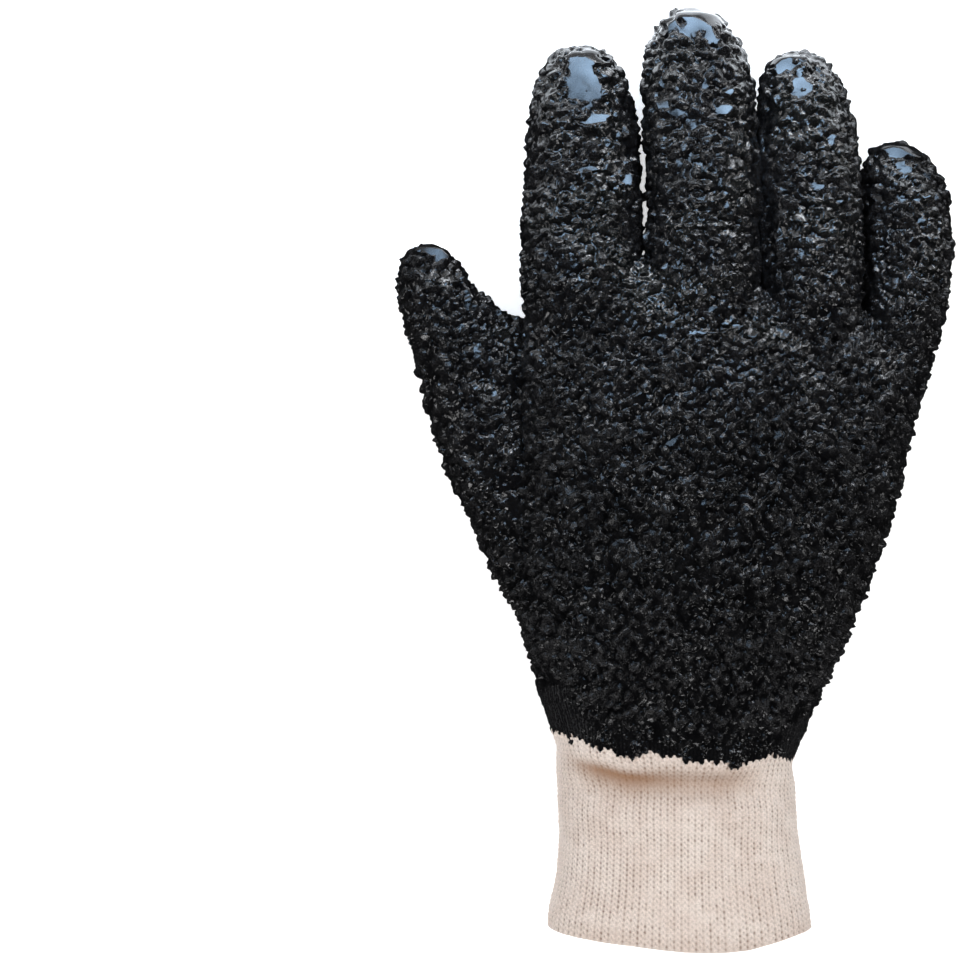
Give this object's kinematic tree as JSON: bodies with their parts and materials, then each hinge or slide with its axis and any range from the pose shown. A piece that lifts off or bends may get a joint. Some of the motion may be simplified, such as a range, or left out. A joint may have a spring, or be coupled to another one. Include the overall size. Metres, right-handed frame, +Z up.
{
  "type": "chip-coated work glove",
  "caption": "Right-hand cleaning and work glove with a rough granular coating over a cloth lining and a rib-knit wrist, lying palm down with its back up and its mouth open.",
  "frame": {"origin": "middle of the glove's footprint, on the surface that it lies on", "axes": "+Z up out of the back of the hand, +Y towards the fingertips, +X towards the little finger's side"},
  "size_m": [0.162, 0.271, 0.0535],
  "materials": {
    "chip_coating": "gloss, rough with chips",
    "rib_knit": "matt rib knitting"
  },
  "bodies": {
    "root": {"coated_hand": "chip_coating", "index_stall": "chip_coating", "middle_stall": "chip_coating", "ring_stall": "chip_coating", "little_stall": "chip_coating", "thumb_stall": "chip_coating", "knit_wrist": "rib_knit"}
  },
  "joints": []
}
